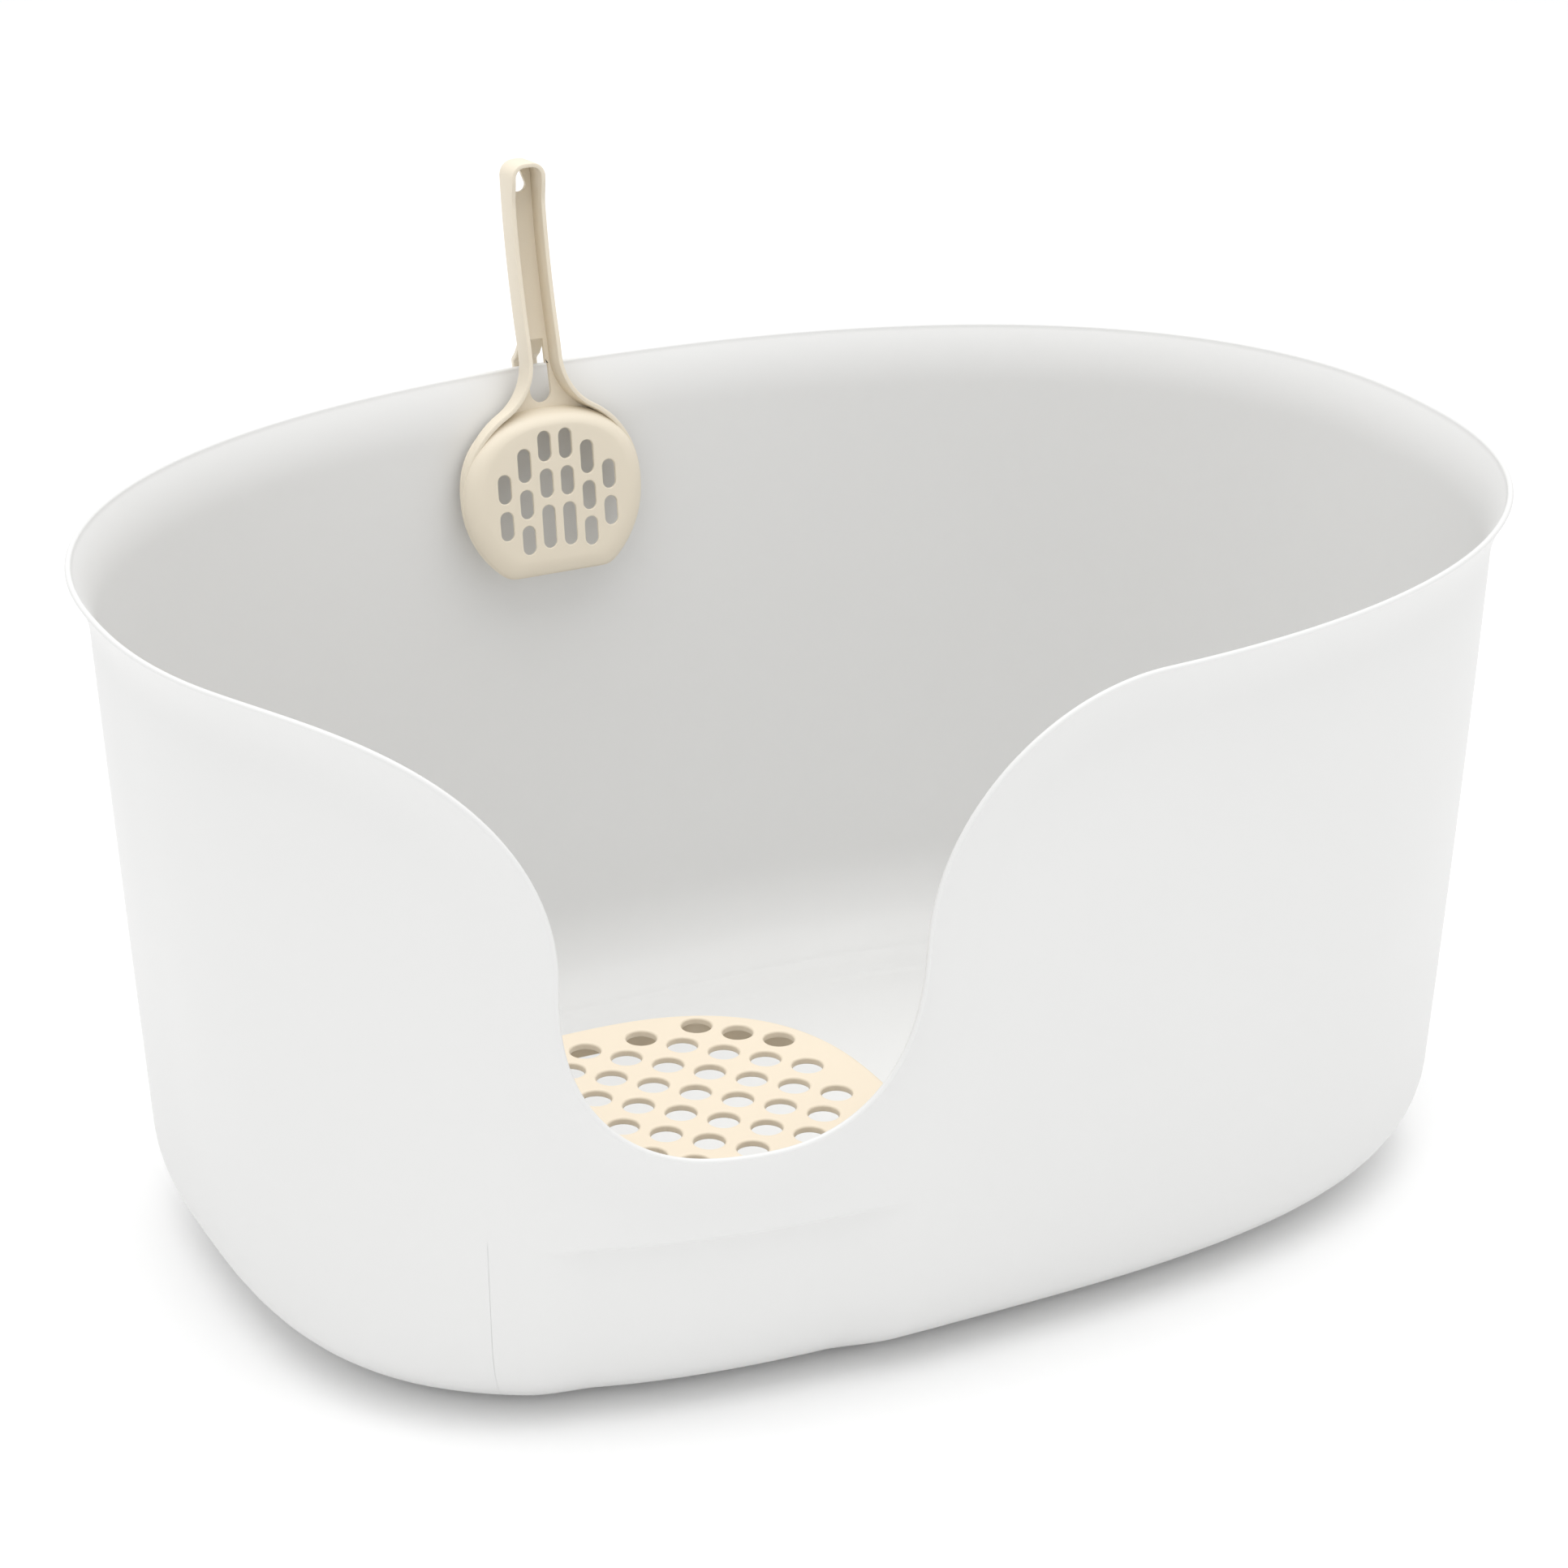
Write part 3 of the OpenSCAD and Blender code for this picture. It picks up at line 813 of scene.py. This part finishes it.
def hook_shell():
    """The hook: a strip that leaves the back over the window, slopes back over the rim and
    hangs down behind it."""
    loop = MM * np.array([[103.4, 1.0], [103.4, -0.6], [96.4, -7.4], [94.4, -11.5],
                          [78.6, -11.5], [78.6, -13.7], [95.6, -13.7], [98.6, -9.0],
                          [106.4, -1.2], [106.4, 1.0]])
    loop = rounded(evenly(loop, 0.6 * MM, closed=True), 3)
    half, e = 5.8 * MM, 0.4 * MM
    profile = np.array([[-e, half], [0, half - e], [0, e - half], [-e, -half]])
    points, faces = plate([carried(loop, loop_normals(loop), profile)])
    return points[:, [2, 0, 1]], faces


def bent(size, points):
    """Bends the handle: it leans back above the neck and then straightens up along an arc."""
    at = np.linspace(0.0, size.reach + 8 * MM, 400)
    lean = HANDLE_BEND * at / size.reach - HANDLE_KINK * smooth_step(at / (9 * MM))
    step = at[1] - at[0]
    y = np.r_[0.0, np.cumsum(np.cos(lean[:-1]) * step)]
    z = np.r_[0.0, np.cumsum(np.sin(lean[:-1]) * step)]
    along = np.clip(points[:, 1] - NECK_TOP, 0.0, None)
    tilt = np.interp(along, at, lean) * (along > 0)
    out = points.copy()
    above = along > 0
    new_y = NECK_TOP + np.interp(along, at, y) - np.sin(tilt) * points[:, 2]
    new_z = np.interp(along, at, z) + np.cos(tilt) * points[:, 2]
    out[above, 1] = new_y[above]
    out[above, 2] = new_z[above]
    return out


def hung(size, rim_height, points):
    """Turns the flat scoop upright, leans it back and hangs it on the rim."""
    turn = math.pi / 2 - size.lean
    y, z = points[:, 1] - RIM_LEVEL, points[:, 2]
    return np.column_stack([points[:, 0] + size.x,
                            y * math.cos(turn) - z * math.sin(turn) + size.y,
                            y * math.sin(turn) + z * math.cos(turn) + rim_height])


def scoop_shells(size, rim_height):
    """All of the scoop's shells, bent and hung in place."""
    shells = [dish_shell(size), band_shell(size), back_shell(size), hook_shell()]
    return [(hung(size, rim_height, bent(size, points)), faces) for points, faces in shells]


# ---------------------------------------------------------------------------
# Materials


def add_node(tree, kind, settings=(), inputs=(), links=()):
    """Adds a node, sets its properties and inputs, and links (output, input name) pairs."""
    node = tree.nodes.new(kind)
    for key, value in dict(settings).items():
        setattr(node, key, value)
    for key, value in dict(inputs).items():
        node.inputs[key].default_value = value
    for output, key in links:
        tree.links.new(output, node.inputs[key])
    return node


def moulded_polypropylene(name, base, rough, shade):
    """Injection-moulded polypropylene, which is slightly milky; it is drawn satin and opaque, with
    a fine spark-eroded grain.

    The eye sees broad soft highlights, very faint flow marks about 90 mm wide, and a grain of
    about 0.4 mm, drawn at 0.9 mm so that it shows.
    """
    material = bpy.data.materials.new(name)
    material.use_nodes = True
    tree = material.node_tree
    shader = tree.nodes["Principled BSDF"]
    place_in = add_node(tree, "ShaderNodeTexCoord").outputs["Object"]
    flow = add_node(tree, "ShaderNodeTexNoise",
                    inputs={"Scale": 1 / (90 * MM), "Detail": 3.0, "Roughness": 0.5},
                    links=[(place_in, "Vector")])
    grain = add_node(tree, "ShaderNodeTexNoise",
                     inputs={"Scale": 1 / (0.9 * MM), "Detail": 2.0, "Roughness": 0.6},
                     links=[(place_in, "Vector")])
    tint = add_node(tree, "ShaderNodeMix", settings={"data_type": "RGBA"},
                    inputs={"A": base, "B": [c * shade for c in base[:3]] + [1.0]},
                    links=[(flow.outputs["Fac"], "Factor")])
    gloss = add_node(tree, "ShaderNodeMapRange",
                     inputs={"To Min": rough - 0.05, "To Max": rough + 0.05},
                     links=[(flow.outputs["Fac"], "Value")])
    bump = add_node(tree, "ShaderNodeBump", inputs={"Strength": 0.06, "Distance": 0.05 * MM},
                    links=[(grain.outputs["Fac"], "Height")])
    tree.links.new(tint.outputs["Result"], shader.inputs["Base Color"])
    tree.links.new(gloss.outputs["Result"], shader.inputs["Roughness"])
    tree.links.new(bump.outputs["Normal"], shader.inputs["Normal"])
    shader.inputs["IOR"].default_value = 1.49
    shader.inputs["Specular IOR Level"].default_value = 0.4
    return material


# ---------------------------------------------------------------------------
# Operators


class LITTERTUB_OT_tub(bpy.types.Operator):
    """Build the tub"""

    bl_idname = "litter_tub.tub"
    bl_label = "Tub"

    def execute(self, context):
        scene = context.scene
        finish = moulded_polypropylene("white moulded polypropylene",
                                       scene.litter_finishes.tub, 0.42, 0.985)
        add_piece("tub_shell", [tub_shell(scene.litter_tub, TUB_LOW.z)], finish,
                  "tub_body", ["tub"])
        return {"FINISHED"}


class LITTERTUB_OT_grate(bpy.types.Operator):
    """Build the step grate"""

    bl_idname = "litter_tub.grate"
    bl_label = "Step Grate"

    def execute(self, context):
        scene = context.scene
        finish = moulded_polypropylene("cream moulded polypropylene, grate",
                                       scene.litter_finishes.grate, 0.45, 0.98)
        add_piece("step_grate_plate", grate_shells(scene.litter_grate, scene.litter_tub),
                  finish, "grate_body", ["step_grate"])
        return {"FINISHED"}


class LITTERTUB_OT_scoop(bpy.types.Operator):
    """Build the scoop"""

    bl_idname = "litter_tub.scoop"
    bl_label = "Scoop"

    def execute(self, context):
        scene = context.scene
        finish = moulded_polypropylene("cream moulded polypropylene, scoop",
                                       scene.litter_finishes.scoop, 0.4, 0.98)
        add_piece("scoop_moulding", scoop_shells(scene.litter_scoop, scene.litter_tub.height),
                  finish, "scoop_body", ["scoop"])
        return {"FINISHED"}


# Name, place and side in metres, and power in watts
LIGHTS = (("top_softbox", (0.0, 0.0, 2.6), 3.2, 56.0),
          ("left_softbox", (-2.4, -1.6, 1.5), 2.2, 6.0),
          ("right_softbox", (2.4, -1.8, 1.4), 2.2, 3.0))
LIGHT_AIM = (0.0, 0.0, 0.15)
AMBIENT = 0.72
FLOOR_HALF = 6.0


class LITTERTUB_OT_stage(bpy.types.Operator):
    """Build the floor, the lights and the camera"""

    bl_idname = "litter_tub.stage"
    bl_label = "Stage"

    def execute(self, context):
        scene = context.scene
        stage = scene.litter_stage
        add_floor(scene.litter_finishes.ground)
        for light in LIGHTS:
            add_light(*light)
        world = bpy.data.worlds.new("white studio")
        world.use_nodes = True
        background = world.node_tree.nodes["Background"]
        background.inputs["Color"].default_value = (1, 1, 1, 1)
        background.inputs["Strength"].default_value = AMBIENT
        scene.world = world
        scene.view_settings.view_transform = "Standard"
        add_camera(stage)
        return {"FINISHED"}


def add_floor(base):
    """A wide pale floor, painted a flat matt white."""
    half = FLOOR_HALF
    mesh = bpy.data.meshes.new("floor")
    mesh.from_pydata([(-half, -half, 0), (half, -half, 0), (half, half, 0), (-half, half, 0)],
                     [], [(0, 1, 2, 3)])
    material = bpy.data.materials.new("matt white paint")
    material.use_nodes = True
    shader = material.node_tree.nodes["Principled BSDF"]
    shader.inputs["Base Color"].default_value = base
    shader.inputs["Roughness"].default_value = 0.9
    mesh.materials.append(material)
    ground = bpy.data.objects.new("floor", mesh)
    bpy.context.scene.collection.objects.link(ground)


def add_light(name, location, size, power):
    """A large square soft light aimed at the middle of the tub."""
    data = bpy.data.lights.new(name, "AREA")
    data.size = size
    data.energy = power
    light = bpy.data.objects.new(name, data)
    light.location = location
    aim = Vector(LIGHT_AIM) - light.location
    light.rotation_euler = aim.to_track_quat("-Z", "Y").to_euler()
    bpy.context.scene.collection.objects.link(light)


def add_camera(stage):
    """The camera, placed by its angles round the target."""
    data = bpy.data.cameras.new("camera")
    data.sensor_width = 36.0
    data.lens = stage.lens
    data.clip_end = 50.0
    camera = bpy.data.objects.new("camera", data)
    az, el = stage.azimuth, stage.elevation
    back = Vector((math.sin(az) * math.cos(el), -math.cos(az) * math.cos(el), math.sin(el)))
    camera.location = Vector(stage.target) + back * stage.distance
    turn = (-back).to_track_quat("-Z", "Y") @ Quaternion((0.0, 0.0, 1.0), stage.roll)
    camera.rotation_euler = turn.to_euler()
    bpy.context.scene.collection.objects.link(camera)
    bpy.context.scene.camera = camera


class LITTERTUB_PT_panel(bpy.types.Panel):
    """Sizes, colours and build buttons"""

    bl_label = "Litter Tub"
    bl_idname = "LITTERTUB_PT_panel"
    bl_space_type = "VIEW_3D"
    bl_region_type = "UI"
    bl_category = "Litter Tub"

    def draw(self, context):
        layout = self.layout
        for operator in OPERATORS:
            layout.operator(operator.bl_idname)
        for attribute, group in GROUPS.items():
            box = layout.box()
            box.label(text=group.__doc__)
            for key in group.__annotations__:
                box.prop(getattr(context.scene, attribute), key)


GROUPS = {
    "litter_tub": TubSizes,
    "litter_grate": GrateSizes,
    "litter_scoop": ScoopSizes,
    "litter_finishes": Finishes,
    "litter_stage": StageSizes,
}
OPERATORS = (LITTERTUB_OT_stage, LITTERTUB_OT_tub, LITTERTUB_OT_grate, LITTERTUB_OT_scoop)


def register():
    """Registers the classes and hangs the property groups on the scene."""
    for group in GROUPS.values():
        bpy.utils.register_class(group)
    for operator in OPERATORS:
        bpy.utils.register_class(operator)
    bpy.utils.register_class(LITTERTUB_PT_panel)
    for attribute, group in GROUPS.items():
        setattr(bpy.types.Scene, attribute, PointerProperty(type=group))


def unregister():
    """Takes everything back in the opposite order."""
    for attribute in reversed(GROUPS):
        delattr(bpy.types.Scene, attribute)
    bpy.utils.unregister_class(LITTERTUB_PT_panel)
    for cls in reversed([*GROUPS.values(), *OPERATORS]):
        bpy.utils.unregister_class(cls)


def main():
    register()
    bpy.ops.litter_tub.stage()
    bpy.ops.litter_tub.tub()
    bpy.ops.litter_tub.grate()
    bpy.ops.litter_tub.scoop()


if __name__ == "__main__":
    main()
